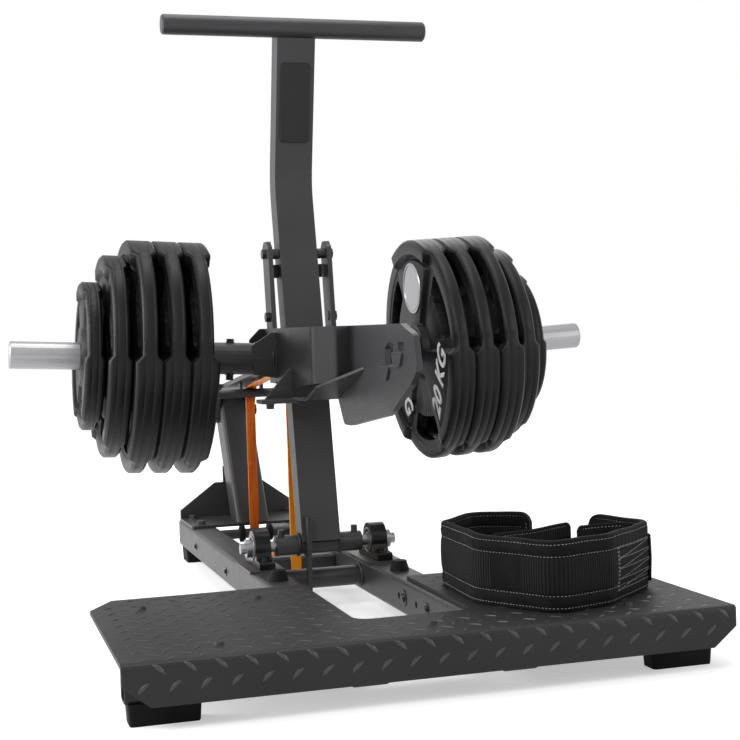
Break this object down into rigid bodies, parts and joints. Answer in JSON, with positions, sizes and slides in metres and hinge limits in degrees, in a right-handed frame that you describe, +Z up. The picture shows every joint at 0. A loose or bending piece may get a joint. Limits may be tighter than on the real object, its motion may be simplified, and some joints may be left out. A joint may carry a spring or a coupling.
{
  "type": "belt squat machine",
  "caption": "Plate-loaded belt squat machine: low platform on twin rails, rear-hinged lever with loaded sleeves and hook plate, tilting T-handle post, and a hip belt.",
  "frame": {"origin": "on the floor, below the middle of the machine's bounding box", "axes": "+X to the machine's right as its user sees it when facing the post, +Y towards the rear, where the lever is hinged, +Z up"},
  "size_m": [1.1208, 1.559, 1.1375],
  "materials": {
    "frame_paint": "satin charcoal powder coat on welded steel",
    "deck_paint": "matt charcoal powder coat with a fine texture",
    "bright_steel": "bright plated steel with fine turning lines",
    "black_steel": "black painted castings and black bolts",
    "black_rubber": "matt moulded rubber",
    "black_plastic": "matt, left blank",
    "disc_rubber": "iron disc in a satin black rubber coat",
    "orange_rubber": "smooth latex band",
    "belt_fabric": "thick woven webbing with rows of stitching"
  },
  "bodies": {
    "base": {"rail_left": "frame_paint", "rail_right": "frame_paint", "front_cross_tube": "frame_paint", "middle_cross_tube": "frame_paint", "band_peg": "frame_paint", "peg_ring_left": "black_rubber", "peg_ring_right": "black_rubber", "deck": "deck_paint", "deck_foot_left": "black_rubber", "deck_foot_right": "black_rubber", "rail_foot_left": "black_rubber", "rail_foot_right": "black_rubber", "bumper_left": "black_rubber", "bumper_right": "black_rubber", "bearing_left": "black_steel", "bearing_right": "black_steel", "rear_base_plate": "frame_paint", "rear_post": "frame_paint", "post_gusset": "frame_paint", "resistance_band": "orange_rubber"},
    "handle": {"handle_post": "frame_paint", "handle_bar": "frame_paint", "shaft": "bright_steel", "shaft_tube": "frame_paint", "shaft_collar_left": "bright_steel", "shaft_collar_right": "bright_steel", "badge_plate": "black_plastic", "stop_fin": "frame_paint"},
    "lever": {"lever_beam": "frame_paint", "hinge_lug_left": "frame_paint", "hinge_lug_right": "frame_paint", "hinge_pin": "black_steel", "band_crossbar": "frame_paint", "band_rod": "frame_paint", "back_plate": "frame_paint", "head_wall_left": "frame_paint", "head_wall_right": "frame_paint", "head_floor_left": "frame_paint", "head_floor_right": "frame_paint", "hook_plate": "frame_paint", "link_left": "frame_paint", "link_right": "frame_paint", "sleeve_holder_left": "frame_paint", "sleeve_holder_right": "frame_paint", "sleeve_left": "bright_steel", "sleeve_right": "bright_steel", "stop_bracket_left": "frame_paint", "stop_bracket_right": "frame_paint"},
    "stack_left": {"disc_left_1": "disc_rubber", "disc_left_2": "disc_rubber", "disc_left_3": "disc_rubber", "disc_left_4": "disc_rubber", "disc_left_5": "disc_rubber"},
    "stack_right": {"disc_right_1": "disc_rubber", "disc_right_2": "disc_rubber", "disc_right_3": "disc_rubber", "disc_right_4": "disc_rubber", "disc_right_5": "disc_rubber"},
    "belt": {"belt": "belt_fabric", "belt_strap": "belt_fabric"}
  },
  "joints": [
    {"name": "lever_pivot", "type": "hinge", "parent": "base", "child": "lever", "pos_m": [0, 0.73854, 0.3495], "axis": [1, 0, 0], "range_deg": [-4, 14], "deforming": ["resistance_band"]},
    {"name": "handle_pivot", "type": "hinge", "parent": "base", "child": "handle", "pos_m": [0, -0.04946, 0.1301], "axis": [1, 0, 0], "range_deg": [0, 6]},
    {"name": "plates_left_slide", "type": "slide", "parent": "lever", "child": "stack_left", "axis": [-0.9986, 0, 0.0523], "range_m": [0, 0.12]},
    {"name": "plates_right_slide", "type": "slide", "parent": "lever", "child": "stack_right", "axis": [0.9986, 0, 0.0523], "range_m": [0, 0.12]},
    {"name": "belt_lift", "type": "slide", "parent": "base", "child": "belt", "axis": [0, 0, 1], "range_m": [0, 0.3]}
  ]
}
